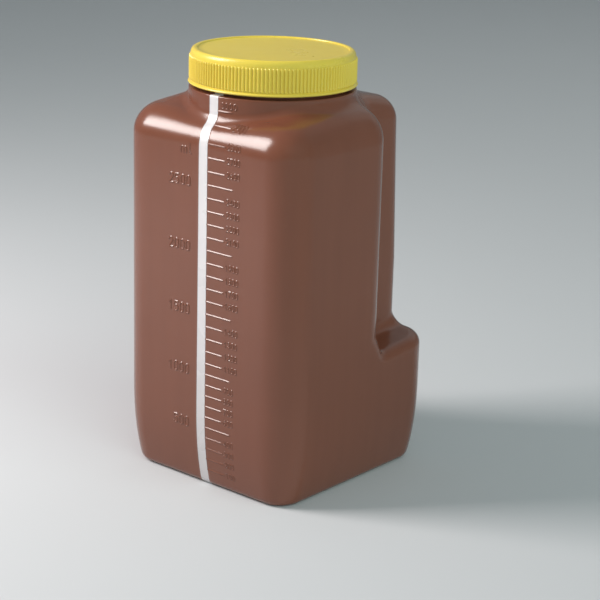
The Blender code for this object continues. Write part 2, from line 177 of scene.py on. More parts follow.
# Graduation
FILL_LEVELS = 160
MILLILITRES_PER_CUBIC_METRE = 1e6
NORMAL_STEP = 0.0001
EDGE_LINE_X = 0.00035
EDGE_LINE_HALF = 0.00022
LINE_HALF = 0.00058
SMALL_PEN_HALF = 0.00050
LARGE_PEN_HALF = 0.00060
FLANK_SLOPE = 0.62
FLANK_SHARES = (1.0, 0.88, 0.30)
CREST_SHARE = 0.14
CREST_EDGE_FALL = 0.97
STROKE_END_ANGLES = (88, 62, 32)
STROKE_SINK = 0.00025
STROKE_STEP = 0.0012
SMALL_FIGURE_X = 0.0142
SMALL_FIGURE_LIFT = 0.0004
SMALL_PITCH = 0.00255
TOP_LINE = 0.0086
TOP_FIGURE_X = 0.0020
TOP_FIGURE_LIFT = 0.0017
# How far the uppermost marks are moulded from the height that their volume gives
UPPER_MARK_LIFT = {2700: 0.0003, 2800: 0.0006, 2900: 0.0021, 3000: -0.0009}
LARGE_FIGURE_END = -0.0083
LARGE_PITCH = 0.0043
FIGURE_WIDTH = 0.6
UNIT_AMOUNT = 2745
UNIT_WIDTH = 1.38

# Studio, metres and watts
FLOOR_COLUMNS = 96
FLOOR_PROFILE = [(1.0, 0.0), (3.0, 0.0), (4.5, 0.0), (5.2, 0.15), (5.7, 0.55), (6.0, 1.1),
                 (6.1, 2.2), (6.1, 4.0)]
AIM_POINT = (0.00947, 0.00799, 0.09704)

# Each light's name, place, width, height, power and colour, and whether gloss mirrors it
LIGHTS = [
    ("key_softbox", (-0.56, -0.545, 0.68), 0.36, 0.52, 10.5, (1.0, 0.94, 0.92), True),
    ("side_fill", (3.9, -1.2, 2.2), 6.0, 4.2, 162.0, (0.80, 1.0, 0.95), False),
    ("back_wash", (-0.3, 1.6, 1.2), 1.4, 0.9, 1.0, (1.0, 0.97, 0.93), True),
]

# Layout of the shader editor
FIRST_COLUMN = -1500
COLUMN_STEP = 320
TOP_ROW = 300
ROW_STEP = 260


class BodyShape(bpy.types.PropertyGroup):
    """Sizes of the blown bottle"""

    half_width: FloatProperty(name="Half width", description="From the middle to a side wall",
                              default=BODY_HIGH[0], unit="LENGTH")
    half_depth: FloatProperty(name="Half depth", description="From the middle to the front wall",
                              default=BODY_HIGH[1], unit="LENGTH")
    corner_radius: FloatProperty(name="Corner radius", description="Of the upright corners",
                                 default=0.0197, unit="LENGTH")
    wall: FloatProperty(name="Wall", description="Thickness of the plastic",
                        default=0.0015, unit="LENGTH")
    shoulder_radius: FloatProperty(name="Shoulder radius", description="Of the shoulder's edge",
                                   default=0.0122, unit="LENGTH")
    collar_radius: FloatProperty(name="Collar radius", description="Of the collar under the cap",
                                 default=0.0468, unit="LENGTH")
    collar_top: FloatProperty(name="Collar top", description="Height of the collar's upper edge",
                              default=0.2236, unit="LENGTH")
    grip_half_width: FloatProperty(name="Grip half width", description="Of the column at the back",
                                   default=0.0392, unit="LENGTH")
    grip_front: FloatProperty(name="Grip front", description="Where the recesses begin",
                              default=0.0182, unit="LENGTH")
    ledge_height: FloatProperty(name="Ledge height", description="Of the ledge under the grip",
                                default=0.0786, unit="LENGTH")


class CapShape(bpy.types.PropertyGroup):
    """Sizes of the screw cap"""

    band_radius: FloatProperty(name="Band radius", description="Of the smooth band",
                               default=0.0459, unit="LENGTH")
    rib_radius: FloatProperty(name="Rib radius", description="To the crest of the ribs",
                              default=0.0468, unit="LENGTH")
    bead_radius: FloatProperty(name="Bead radius", description="Of the bead at the lower edge",
                               default=(CAP_HIGH[0] - CAP_LOW[0]) / 2, unit="LENGTH")
    rib_count: IntProperty(name="Ribs", description="Grip ribs round the cap", default=138, min=12)


class ScaleShape(bpy.types.PropertyGroup):
    """Sizes of the raised graduation"""

    capacity: IntProperty(name="Capacity", description="Highest mark in millilitres", default=3000)
    step: IntProperty(name="Step", description="Millilitres between two lines", default=100, min=50)
    long_every: IntProperty(name="Long every", description="Millilitres between long lines",
                            default=500)
    short_line: FloatProperty(name="Short line", description="Length of a short line",
                              default=0.0122, unit="LENGTH")
    long_line: FloatProperty(name="Long line", description="Length of a long line",
                             default=0.0182, unit="LENGTH")
    small_figure: FloatProperty(name="Small figure", description="Height of the small figures",
                                default=0.0031, unit="LENGTH")
    large_figure: FloatProperty(name="Large figure", description="Height of the large figures",
                                default=0.0053, unit="LENGTH")
    relief: FloatProperty(name="Relief", description="How far the marks stand proud",
                          default=0.00040, unit="LENGTH")


class Finishes(bpy.types.PropertyGroup):
    """Colours of the pieces"""

    brown: FloatVectorProperty(name="Bottle", description="Blown brown plastic", size=3,
                               default=(0.180, 0.0605, 0.0345), subtype="COLOR", min=0, max=1)
    milky: FloatVectorProperty(name="Strip", description="Natural plastic of the strip", size=3,
                               default=(0.72, 0.68, 0.69), subtype="COLOR", min=0, max=1)
    yellow: FloatVectorProperty(name="Cap", description="Yellow plastic of the cap", size=3,
                                default=(0.76, 0.575, 0.078), subtype="COLOR", min=0, max=1)
    foam: FloatVectorProperty(name="Liner", description="Foam of the liner", size=3,
                              default=(0.86, 0.86, 0.84), subtype="COLOR", min=0, max=1)


class Studio(bpy.types.PropertyGroup):
    """The camera's place and the floor"""

    azimuth: FloatProperty(name="Azimuth", description="Of the camera, towards the right side",
                           default=math.radians(40.16), subtype="ANGLE")
    elevation: FloatProperty(name="Elevation", description="Of the camera above the level",
                             default=math.radians(17.07), subtype="ANGLE")
    roll: FloatProperty(name="Roll", description="Of the camera about its own line of sight",
                        default=math.radians(1.56), subtype="ANGLE")
    distance: FloatProperty(name="Distance", description="From the camera to its target",
                            default=1.0366, unit="LENGTH")
    lens: FloatProperty(name="Lens", description="Focal length", default=107.0, unit="CAMERA")
    floor_colour: FloatVectorProperty(name="Floor", description="Pale floor", size=3,
                                      default=(0.62, 0.625, 0.64), subtype="COLOR", min=0, max=1)


# Signed distances of the body, negative inside the plastic's outer surface

def meet(first, second, radius):
    """Where both shapes are, with the edge between them rounded."""
    u = np.maximum(first + radius, 0)
    v = np.maximum(second + radius, 0)
    return np.minimum(-radius, np.maximum(first, second)) + np.hypot(u, v)


def join(first, second, radius):
    """Both shapes together, with a fillet between them."""
    return -meet(-first, -second, radius)


def wall_section(shape, x, y, z):
    """The upright walls, which draw in towards the base."""
    below = np.maximum(TAPER_TOP_Z - z, 0) / TAPER_TOP_Z
    section = meet(np.abs(x) - shape.half_width, np.abs(y) - shape.half_depth,
                   shape.corner_radius)
    return section + TAPER_INSET * below ** TAPER_POWER


def grip_recess(shape, x, y, z):
    """The hollow beside the grip column, the same on the left and the right."""
    half_width = shape.grip_half_width - GRIP_DRAFT * np.maximum(z - GRIP_DRAFT_Z, 0)
    beside = half_width - np.abs(x)
    behind = shape.grip_front + GRIP_WALL_SLOPE * (shape.half_width - np.abs(x)) - y
    ledge = (shape.ledge_height - LEDGE_SIDE_SLOPE * (np.abs(x) - shape.grip_half_width)
             + LEDGE_BACK_SLOPE * (y - shape.half_depth))
    return meet(meet(beside, behind, GRIP_FILLET), ledge - z, LEDGE_FILLET)


def eased(value, start, end):
    """0 below start and 1 above end, with a smooth change between them."""
    share = np.clip((value - start) / (end - start), 0, 1)
    return share * share * (3 - 2 * share)


def front_share(away_y):
    """0 at the sides and the back of the neck, rising to 1 at its front."""
    return eased(-away_y, *FRONT_FACING)


def shoulder_height(shape, reach, away_x, away_y):
    """Height of the shoulder, which runs straight from the walls' upper rim to the collar."""
    depth = np.where(away_y < 0, shape.half_depth + NECK_Y, shape.half_depth - NECK_Y)
    wall_reach = ((np.abs(away_x) / shape.half_width) ** CORNER_POWER
                  + (np.abs(away_y) / depth) ** CORNER_POWER) ** (-1 / CORNER_POWER)
    outward = np.maximum((reach - shape.collar_radius) / (wall_reach - shape.collar_radius), 0)
    front = front_share(away_y)
    rim = (SIDE_RIM_Z + (FRONT_RIM_Z - SIDE_RIM_Z) * front
           + (BACK_RIM_Z - SIDE_RIM_Z) * eased(away_y, *BACK_FACING))
    top = SHOULDER_TOP_Z + (SHOULDER_FRONT_TOP_Z - SHOULDER_TOP_Z) * front
    return rim + (top - rim) * (1 - outward)


def body_distance(shape, x, y, z):
    """The blown body with its shoulder and collar, without the neck."""
    reach = np.maximum(np.hypot(x, y - NECK_Y), EDGE_ROUND)
    away_y = (y - NECK_Y) / reach
    height = shoulder_height(shape, reach, x / reach, away_y)
    shoulder = (z - height) / np.hypot(1, SHOULDER_SLOPE)
    radius = (shape.shoulder_radius
              + (SHOULDER_FRONT_RADIUS - shape.shoulder_radius) * front_share(away_y))
    block = meet(wall_section(shape, x, y, z), shoulder, radius)
    rise = np.clip((z - shape.ledge_height) / LEDGE_BLEND_HEIGHT + LEDGE_BLEND_START, 0, 1)
    edge = LEDGE_EDGE_RADIUS + (GRIP_EDGE_RADIUS - LEDGE_EDGE_RADIUS) * rise
    body = meet(block, -grip_recess(shape, x, y, z), edge)
    collar = meet(reach - shape.collar_radius, z - shape.collar_top, EDGE_ROUND)
    return meet(join(body, collar, COLLAR_FILLET), -z, HEEL_RADIUS)


def foot_distance(shape, x, y, z):
    """The flat part of the base, inside the heel's rounding."""
    return wall_section(shape, x, y, z) + HEEL_RADIUS


def crossing(inside, count):
    """How far out each of the rows leaves the plastic, found by halving."""
    near = np.full(count, NEAREST_REACH)
    far = np.full(count, FARTHEST_REACH)
    for _ in range(HALVINGS):
        reach = (near + far) / 2
        within = inside(reach)
        near = np.where(within, reach, near)
        far = np.where(within, far, reach)
    return reach


class Columns:
    """The upright rows of the body's skin: a fan about the neck, with parallel rows in front."""

    def __init__(self):
        strip = list(np.linspace(STRIP_LOW[0], STRIP_HIGH[0], STRIP_COLUMNS))
        front = LEFT_OF_STRIP + strip + RIGHT_OF_STRIP
        right = []
        for (start, count), (end, _) in zip(AZIMUTH_STOPS, AZIMUTH_STOPS[1:]):
            right += [math.radians(start + (end - start) * step / count) for step in range(count)]
        left = [math.pi - angle for angle in right[::-1]]
        self.offset = np.array(front + [0.0] * len(right) + ACROSS_SEAM + [0.0] * len(left))
        angles = ([-math.pi / 2] * len(front) + right + [math.pi / 2] * len(ACROSS_SEAM) + left)
        self.away_x = np.cos(angles)
        self.away_y = np.sin(angles)
        self.count = len(angles)
        self.strip_first = front.index(strip[0])
        self.strip_last = front.index(strip[-1])
        share = np.ones(len(front))
        share[[0, -1]] = OUTERMOST_BEND
        share[[1, -2]] = NEXT_BEND
        self.drift = np.zeros(self.count)
        self.drift[:len(front)] = STRIP_BEND * share
        self.lift = np.zeros(self.count)
        self.lift[len(front) + len(right) + ACROSS_SEAM.index(0.0)] = -SEAM_DEPTH

    def bend(self, z):
        """How far each front row has drifted to the left at this height."""
        return self.drift * eased(z, STRIP_BEND_FROM_Z, STRIP_BEND_TO_Z)

    def at(self, reach, z):
        """Points at this distance along each row's direction."""
        return np.column_stack((self.offset - self.bend(z) + reach * self.away_x,
                                NECK_Y + reach * self.away_y, z))

    def on(self, shape, distance, height, slope, depth=0.0):
        """Points where a cone about the neck's axis crosses the surface, or a layer under it."""
        target = -depth if depth > 0 else self.lift

        def inside(reach):
            spot = self.at(reach, height + slope * reach)
            return distance(shape, spot[:, 0], spot[:, 1], spot[:, 2]) < target

        reach = crossing(inside, self.count)
        return self.at(reach, height + slope * reach)

    def circle(self, radius, z):
        """A level circle about the neck's axis; radius may differ from row to row."""
        level = np.full(self.count, z)
        return self.at(np.sqrt(radius ** 2 - (self.offset - self.bend(level)) ** 2), level)

    def drawn_in(self, ring, factor, z):
        """A ring scaled towards the neck's axis."""
        centre = np.array((0, NECK_Y))
        flat = centre + (ring[:, :2] - centre) * factor
        return np.column_stack((flat, np.full(self.count, z)))

    def turn(self):
        """Angle of each row about the neck's axis, in turns, on the neck's circle."""
        spot = self.circle(NECK_RADIUS, RIM_Z)
        return np.arctan2(spot[:, 1] - NECK_Y, spot[:, 0]) / (2 * math.pi)


def cones():
    """Height and slope of the cones from the heel to the collar."""
    heel = [(share * HEEL_RADIUS, 0) for share in HEEL_STEPS]
    low = [(z, 0) for z in np.linspace(LOW_Z, LEDGE_APEX_Z, 9)]
    rise = [(LEDGE_APEX_Z, slope) for slope in np.linspace(0.04, 0.30, 8)]
    ledge = [(LEDGE_APEX_Z, slope) for slope in np.linspace(0.32, 0.98, 60)]
    grip = [(LEDGE_APEX_Z, slope) for slope in np.linspace(1.0, STEEPEST, 12)]
    change = [(LEDGE_APEX_Z + (SHOULDER_APEX_Z - LEDGE_APEX_Z) * t, STEEPEST * (1 - t))
              for t in np.linspace(0.06, 1, 18)]
    shoulder = [(SHOULDER_APEX_Z, slope) for slope in np.linspace(0.03, 1.26, 84)]
    return heel + low + rise + ledge + grip + change + shoulder


def thread_lift(turn, z, span, foot_z):
    """Height of a thread ridge from 0 to 1, at an angle in turns and a height."""
    first, last = span
    level = (z - foot_z) / PITCH
    here = turn + np.round(level - turn)
    aside = np.abs(level - here) * PITCH
    ridge = np.clip((THREAD_ROOT_HALF - aside) / (THREAD_ROOT_HALF - THREAD_CREST_HALF), 0, 1)
    fade = np.clip(np.minimum(here - first, last - here) / THREAD_FADE_TURNS + THREAD_END_SHARE,
                   0, 1)
    return np.where((here >= first) & (here <= last), ridge * fade, 0)


def body_layers(shape, columns):
    """The outer rings and the inner rings, both from the base to the rim, in matching pairs."""
    foot = columns.on(shape, foot_distance, 0.0, 0.0)
    wall = shape.wall
    floor = [(FLOOR_STEP * FLOOR_MIDDLE, PUSH_UP), (FLOOR_STEP, PUSH_UP),
             ((FLOOR_STEP + FOOT_RING_END) / 2, PUSH_UP / 2), (FOOT_RING_END, 0.0)]
    outer = [columns.drawn_in(foot, share, z) for share, z in floor + [(1.0, 0.0)]]
    inner = [columns.drawn_in(foot, share, z + wall)
             for share, z in floor + [(INNER_FLOOR_END, 0.0)]]
    for height, slope in cones():
        outer.append(columns.on(shape, body_distance, height, slope))
        inner.append(columns.on(shape, body_distance, max(height, wall * LOWEST_INNER_WALLS),
                                slope, wall))
    collar_edge = shape.collar_top - EDGE_ROUND
    for z in (*COLLAR_SIDE_Z, collar_edge):
        outer.append(columns.circle(shape.collar_radius, z))
        inner.append(columns.circle(shape.collar_radius - wall, z - wall))
    for angle in np.radians(COLLAR_EDGE_ANGLES):
        ring_z = collar_edge + EDGE_ROUND * math.sin(angle)
        outer.append(columns.circle(shape.collar_radius - EDGE_ROUND * (1 - math.cos(angle)),
                                    ring_z))
        draw_in = 1 + math.sin(angle) * COLLAR_DRAW_IN
        inner.append(columns.circle(shape.collar_radius - wall * draw_in, ring_z - wall))
    outer.append(columns.circle(NECK_RADIUS + EDGE_ROUND, shape.collar_top + NECK_FOOT_RISE))
    inner.append(columns.circle(BORE_RADIUS + EDGE_ROUND, shape.collar_top - wall))
    turn = columns.turn()
    for z in np.linspace(shape.collar_top + EDGE_ROUND, RIM_Z - EDGE_ROUND, NECK_RINGS):
        ridge = thread_lift(turn, z, NECK_THREAD_TURNS, THREAD_FOOT_Z)
        outer.append(columns.circle(NECK_RADIUS + NECK_THREAD_HEIGHT * ridge, z))
        inner.append(columns.circle(BORE_RADIUS, z))
    outer.append(columns.circle(NECK_RADIUS - EDGE_ROUND, RIM_Z))
    inner.append(columns.circle(BORE_RADIUS + EDGE_ROUND, RIM_Z))
    return np.array(outer), np.array(inner)


def bands(rings, count):
    """Faces between neighbouring rings of points, with the same count in each ring."""
    faces = []
    for low in range(0, (rings - 1) * count, count):
        for spot in range(count):
            after = (spot + 1) % count
            faces.append((low + spot, low + after, low + count + after, low + count + spot))
    return faces


def closed_bands(rings, count):
    """The same faces, and one across the first ring and one across the last."""
    last = (rings - 1) * count
    return bands(rings, count) + [tuple(range(count)), tuple(range(last, last + count))]


def mesh_object(name, points, faces):
    """A new smooth object, with its faces turned outwards."""
    mesh = bpy.data.meshes.new(name)
    mesh.from_pydata([tuple(point) for point in points], [], faces)
    mesh.validate()
    tidy = bmesh.new()
    tidy.from_mesh(mesh)
    loose = [vert for vert in tidy.verts if not vert.link_faces]
    bmesh.ops.delete(tidy, geom=loose, context="VERTS")
    bmesh.ops.recalc_face_normals(tidy, faces=tidy.faces)
    tidy.to_mesh(mesh)
    tidy.free()
    mesh.shade_smooth()
    mesh.set_sharp_from_angle(angle=ANGLE_SMOOTH)
    item = bpy.data.objects.new(name, mesh)
    bpy.context.scene.collection.objects.link(item)
    return item


def wall_piece(name, outer, inner, cells):
    """A closed piece of the wall: the marked cells of the outer and inner skins, and the edges."""
    rings, count = outer.shape[0], outer.shape[1]
    shift = rings * count
    number = np.arange(shift).reshape(rings, count)
    after = np.roll(number, -1, axis=1)
    faces = []
    for ring, row in zip(*np.nonzero(cells)):
        corners = (number[ring, row], after[ring, row], after[ring + 1, row], number[ring + 1, row])
        faces.append(tuple(int(corner) for corner in corners))
        faces.append(tuple(int(corner) + shift for corner in corners[::-1]))
    beside = np.nonzero(cells != np.roll(cells, 1, axis=1))
    for ring, row in zip(*beside):
        low, high = int(number[ring, row]), int(number[ring + 1, row])
        faces.append((low, high, high + shift, low + shift))
    below = np.vstack((cells[:1], cells))
    above = np.vstack((cells, np.zeros((1, count), bool)))
    for ring, row in zip(*np.nonzero(below != above)):
        first, second = int(number[ring, row]), int(after[ring, row])
        faces.append((first, second, second + shift, first + shift))
    if cells[0].all():
        faces.append(tuple(range(count)))
        faces.append(tuple(range(shift, shift + count)))
    points = np.concatenate((outer.reshape(-1, 3), inner.reshape(-1, 3)))
    return mesh_object(name, points, faces)


def fill_levels(shape, columns):
    """Heights and the millilitres that the bottle holds up to each of them."""
    levels = np.linspace(shape.wall * LOWEST_INNER_WALLS, shape.collar_top, FILL_LEVELS)
    areas = []
    for z in levels:
        ring = columns.on(shape, body_distance, z, 0.0, shape.wall)
        x, y = ring[:, 0], ring[:, 1] - NECK_Y
        areas.append(abs(np.sum(x * np.roll(y, -1) - y * np.roll(x, -1))) / 2)
    areas = np.array(areas)
    layers = (areas[1:] + areas[:-1]) / 2 * np.diff(levels)
    push_up = areas[0] * FLOOR_STEP ** 2 * PUSH_UP
    volumes = np.concatenate(((0,), np.cumsum(layers))) - push_up
    return levels, volumes * MILLILITRES_PER_CUBIC_METRE


# Figures as pen strokes in a field 0.6 wide and 1 high

def bow(centre_x, centre_y, reach_x, reach_y, start, end, steps=10):
    angles = np.radians(np.linspace(start, end, steps + 1))
    return [(centre_x + reach_x * math.cos(a), centre_y + reach_y * math.sin(a)) for a in angles]


SIX = [[(0.50, 0.98)] + bow(0.62, 0.34, 0.58, 0.62, 128, 172, 5)
       + bow(0.30, 0.29, 0.26, 0.29, 170, -190, 18)]
FIGURES = {
    "0": [bow(0.30, 0.72, 0.25, 0.28, 0, 180) + bow(0.30, 0.28, 0.25, 0.28, 180, 360)
          + [(0.55, 0.72)]],
    "1": [[(0.12, 0.76), (0.34, 1.0), (0.34, 0.0)]],
    "2": [bow(0.30, 0.73, 0.25, 0.27, 165, -38) + [(0.05, 0.0), (0.56, 0.0)]],
    "3": [bow(0.28, 0.76, 0.23, 0.24, 150, -80) + bow(0.28, 0.26, 0.27, 0.26, 84, -150)],
    "4": [[(0.42, 0.0), (0.42, 1.0), (0.02, 0.27), (0.58, 0.27)]],
    "5": [[(0.52, 1.0), (0.10, 1.0), (0.07, 0.55)] + bow(0.29, 0.31, 0.26, 0.31, 128, -145)],
    "6": SIX,
    "7": [[(0.04, 1.0), (0.55, 1.0), (0.22, 0.0)]],
    "8": [bow(0.30, 0.76, 0.21, 0.24, -90, 270, 16), bow(0.30, 0.27, 0.26, 0.27, 90, 450, 16)],
    "9": [[(0.60 - u, 1.0 - v) for u, v in stroke] for stroke in SIX],
    "m": [[(0.0, 0.0), (0.0, 0.60)],
          bow(0.20, 0.42, 0.20, 0.20, 180, 0, 8) + [(0.40, 0.0)],
          bow(0.60, 0.42, 0.20, 0.20, 180, 0, 8) + [(0.80, 0.0)]],
    "l": [[(0.22, 1.0), (0.22, 0.16)] + bow(0.36, 0.16, 0.14, 0.16, 180, 270, 5)],
}
FIGURE_PITCH = {"m": 1.02}


def text_strokes(text, x, z, height, pitch):
    """Strokes of a line of figures whose lower left corner is at x and z."""
    strokes = []
    for letter in text:
        for stroke in FIGURES[letter]:
            strokes.append([(x + u * height, z + v * height) for u, v in stroke])
        x += FIGURE_PITCH.get(letter, pitch / height) * height
    return strokes


def finer(path, step):
    """The same path with a point at least every step."""
    points = [np.array(path[0])]
    for spot in path[1:]:
        start, end = points[-1], np.array(spot)
        count = max(1, math.ceil(np.hypot(*(end - start)) / step))
        points += [start + (end - start) * (k + 1) / count for k in range(count)]
    return np.array(points)


def front_surface(shape, x, z):
    """Points and outward directions on the front of the body at each x and height."""

    def inside(reach):
        return body_distance(shape, x, NECK_Y - reach, z) < 0

    y = NECK_Y - crossing(inside, len(x))
    slope = [body_distance(shape, x + across, y + deep, z + up)
             - body_distance(shape, x - across, y - deep, z - up)
             for across, deep, up in NORMAL_STEP * np.eye(3)]
    away = np.column_stack(slope)
    return np.column_stack((x, y, z)), away / np.linalg.norm(away, axis=1)[:, None]


def raised_stroke(spots, away, half_width, height):
    """A ridge with flat flanks along points on a surface, with round ends and a sunk foot."""
    ahead = np.gradient(spots, axis=0)
    ahead /= np.linalg.norm(ahead, axis=1)[:, None]
    aside = np.cross(ahead, away)
    crest = min(height, half_width * FLANK_SLOPE)
    flank = [(share * half_width, crest * (1 - share) / (1 - CREST_SHARE))
             for share in FLANK_SHARES] + [(CREST_SHARE * half_width, crest * CREST_EDGE_FALL)]
    profile = ([(half_width, -STROKE_SINK)] + flank + [(0.0, crest)]
               + [(-across, up) for across, up in flank[::-1]] + [(-half_width, -STROKE_SINK)])
    ends = np.radians(STROKE_END_ANGLES)
    steps = [(0, -math.sin(a), math.cos(a)) for a in ends]
    steps += [(number, 0.0, 1.0) for number in range(len(spots))]
    steps += [(len(spots) - 1, math.sin(a), math.cos(a)) for a in ends[::-1]]
    rings = []
    for number, forward, size in steps:
        middle = spots[number] + ahead[number] * forward * half_width
        rings.append([middle + aside[number] * across * size
                      + away[number] * (up * size if up > 0 else up)
                      for across, up in profile])
    return [spot for ring in rings for spot in ring], closed_bands(len(rings), len(profile))


def raised_marks(name, shape, groups, relief):
    """One object of raised strokes; each group is its paths and half the width of their pen."""
    points = []
    faces = []
    for strokes, half_width in groups:
        for path in strokes:
            flat = finer(path, STROKE_STEP)
            flat[:, 0] -= STRIP_BEND * eased(flat[:, 1], STRIP_BEND_FROM_Z, STRIP_BEND_TO_Z)
            spots, away = front_surface(shape, flat[:, 0], flat[:, 1])
            ridge, sides = raised_stroke(spots, away, half_width, relief)
            faces += [tuple(len(points) + number for number in side) for side in sides]
            points += ridge
    return mesh_object(name, points, faces)


def cap_ring(count, radius, z):
    """A level ring of the cap about the neck's axis; radius may be one value or one per point."""
    angles = 2 * math.pi * np.arange(count) / count
    return np.column_stack((radius * np.cos(angles), NECK_Y + radius * np.sin(angles),
                            np.full(count, CAP_LOW[2] + z)))


def lathe(name, rings):
    """A closed piece through level rings, filled across the first and the last."""
    return mesh_object(name, np.concatenate(rings), closed_bands(len(rings), len(rings[0])))


# Materials

def lay_out(tree, groups):
    """Places each group of nodes in a column inside its own labelled frame."""
    x = FIRST_COLUMN
    for title, nodes in groups:
        box = tree.nodes.new("NodeFrame")
        box.label = title
        y = TOP_ROW
        for node in nodes:
            node.parent = box
            node.location = (x, y)
            y -= ROW_STEP
        x += COLUMN_STEP


def moulded_plastic(name, colour, roughness, streaks, grain_depth, glow, glow_reach, base_painted_shade):
    """Opaque moulded polyethylene: faint flow streaks, satin gloss, a fine blasted grain and painted
    shade towards the base.
    """
    material = bpy.data.materials.new(name)
    material.use_nodes = True
    tree = material.node_tree
    nodes = tree.nodes
    links = tree.links
    nodes.clear()
    place = nodes.new("ShaderNodeTexCoord")
    place.label = "Place on the piece"
    stretch = nodes.new("ShaderNodeMapping")
    stretch.label = "Draw the streaks upright"
    flow = nodes.new("ShaderNodeTexNoise")
    flow.label = "Flow streaks"
    cloud = nodes.new("ShaderNodeTexNoise")
    cloud.label = "Uneven pigment"
    blend = nodes.new("ShaderNodeMix")
    blend.label = "Streaks and clouds"
    tint = nodes.new("ShaderNodeValToRGB")
    tint.label = "Plastic colour"
    height = nodes.new("ShaderNodeSeparateXYZ")
    # Painted shade: the colour is multiplied darker from 13 cm down to 2 cm above the base, where
    # less light reaches the lower body.
    height.label = "Height on the piece"
    painted_shade_ramp = nodes.new("ShaderNodeMapRange")
    painted_shade_ramp.label = "Painted shade towards the base"
    shade = nodes.new("ShaderNodeMix")
    shade.label = "Painted shade, darker lower down"
    worn = nodes.new("ShaderNodeNewGeometry")
    worn.label = "Edges and hollows"
    edge = nodes.new("ShaderNodeMapRange")
    edge.label = "Rubbed edges only"
    rub = nodes.new("ShaderNodeMix")
    rub.label = "Lighter on rubbed edges"
    smudge = nodes.new("ShaderNodeTexNoise")
    smudge.label = "Handling smudges"
    gloss = nodes.new("ShaderNodeMapRange")
    gloss.label = "Roughness range"
    grain = nodes.new("ShaderNodeTexNoise")
    grain.label = "Blasted mould grain"
    ripple = nodes.new("ShaderNodeTexNoise")
    ripple.label = "Shrinkage ripple"
    grain_bump = nodes.new("ShaderNodeBump")
    grain_bump.label = "Grain relief"
    ripple_bump = nodes.new("ShaderNodeBump")
    ripple_bump.label = "Ripple relief"
    shader = nodes.new("ShaderNodeBsdfPrincipled")
    shader.label = "Polyethylene"
    output = nodes.new("ShaderNodeOutputMaterial")
    lay_out(tree, [("Place", [place, stretch]), ("Colour", [flow, cloud, blend, tint]),
                   # The frame titled Wall holds the painted shade that darkens the colour towards
                   # the base.
                   ("Wall", [height, painted_shade_ramp, shade]),
                   ("Wear", [worn, edge, rub]), ("Gloss", [smudge, gloss]),
                   ("Relief", [grain, ripple, grain_bump, ripple_bump]),
                   ("Surface", [shader, output])])
    stretch.inputs["Scale"].default_value = (1.0, 1.0, 0.06)
    flow.inputs["Scale"].default_value = 140.0
    flow.inputs["Detail"].default_value = 3.0
    cloud.inputs["Scale"].default_value = 22.0
    cloud.inputs["Detail"].default_value = 2.0
    blend.data_type = "FLOAT"
    blend.inputs["Factor"].default_value = 0.5
    dark = [channel * (1 - streaks) for channel in colour]
    pale = [min(channel * (1 + streaks), 1.0) for channel in colour]
    tint.color_ramp.elements[0].position = 0.30
    tint.color_ramp.elements[0].color = (*dark, 1.0)
    tint.color_ramp.elements[1].position = 0.70
    tint.color_ramp.elements[1].color = (*pale, 1.0)
    # Painted shade ramp: full painted shade at 2 cm and below, none above 13 cm.
    painted_shade_ramp.inputs["From Min"].default_value = 0.02
    painted_shade_ramp.inputs["From Max"].default_value = 0.13
    painted_shade_ramp.inputs["To Min"].default_value = 1.0
    painted_shade_ramp.inputs["To Max"].default_value = 0.0
    shade.data_type = "RGBA"
    shade.blend_type = "MULTIPLY"
    shade.inputs["B"].default_value = (base_painted_shade, base_painted_shade, base_painted_shade, 1.0)
    edge.inputs["From Min"].default_value = 0.53
    edge.inputs["From Max"].default_value = 0.66
    edge.inputs["To Min"].default_value = 0.0
    edge.inputs["To Max"].default_value = 0.22
    rub.data_type = "RGBA"
    rub.inputs["B"].default_value = (*[channel + (1 - channel) * 0.35 for channel in colour], 1.0)
    smudge.inputs["Scale"].default_value = 30.0
    smudge.inputs["Detail"].default_value = 4.0
    gloss.inputs["From Min"].default_value = 0.3
    gloss.inputs["From Max"].default_value = 0.7
    gloss.inputs["To Min"].default_value = roughness - 0.03
    gloss.inputs["To Max"].default_value = roughness + 0.03
    grain.inputs["Scale"].default_value = 1900.0
    grain.inputs["Detail"].default_value = 2.0
    ripple.inputs["Scale"].default_value = 75.0
    ripple.inputs["Detail"].default_value = 1.0
    grain_bump.inputs["Strength"].default_value = 0.5
    grain_bump.inputs["Distance"].default_value = grain_depth
    ripple_bump.inputs["Strength"].default_value = 0.25
    ripple_bump.inputs["Distance"].default_value = 0.0003
    shader.inputs["IOR"].default_value = 1.51
    shader.inputs["Subsurface Weight"].default_value = glow
    shader.inputs["Subsurface Radius"].default_value = (1.0, 0.9, 0.85)
    shader.inputs["Subsurface Scale"].default_value = glow_reach
    links.new(place.outputs["Object"], stretch.inputs["Vector"])
    links.new(stretch.outputs["Vector"], flow.inputs["Vector"])
    links.new(place.outputs["Object"], cloud.inputs["Vector"])
    links.new(flow.outputs["Fac"], blend.inputs["A"])
    links.new(cloud.outputs["Fac"], blend.inputs["B"])
    links.new(blend.outputs["Result"], tint.inputs["Fac"])
    links.new(worn.outputs["Pointiness"], edge.inputs["Value"])
    links.new(edge.outputs["Result"], rub.inputs["Factor"])
    links.new(place.outputs["Object"], height.inputs["Vector"])
    links.new(height.outputs["Z"], painted_shade_ramp.inputs["Value"])
    links.new(painted_shade_ramp.outputs["Result"], shade.inputs["Factor"])
    links.new(tint.outputs["Color"], shade.inputs["A"])
    links.new(shade.outputs["Result"], rub.inputs["A"])
    links.new(rub.outputs["Result"], shader.inputs["Base Color"])
    links.new(place.outputs["Object"], smudge.inputs["Vector"])
    links.new(smudge.outputs["Fac"], gloss.inputs["Value"])
    links.new(gloss.outputs["Result"], shader.inputs["Roughness"])
    links.new(place.outputs["Object"], grain.inputs["Vector"])
    links.new(place.outputs["Object"], ripple.inputs["Vector"])
    links.new(grain.outputs["Fac"], grain_bump.inputs["Height"])
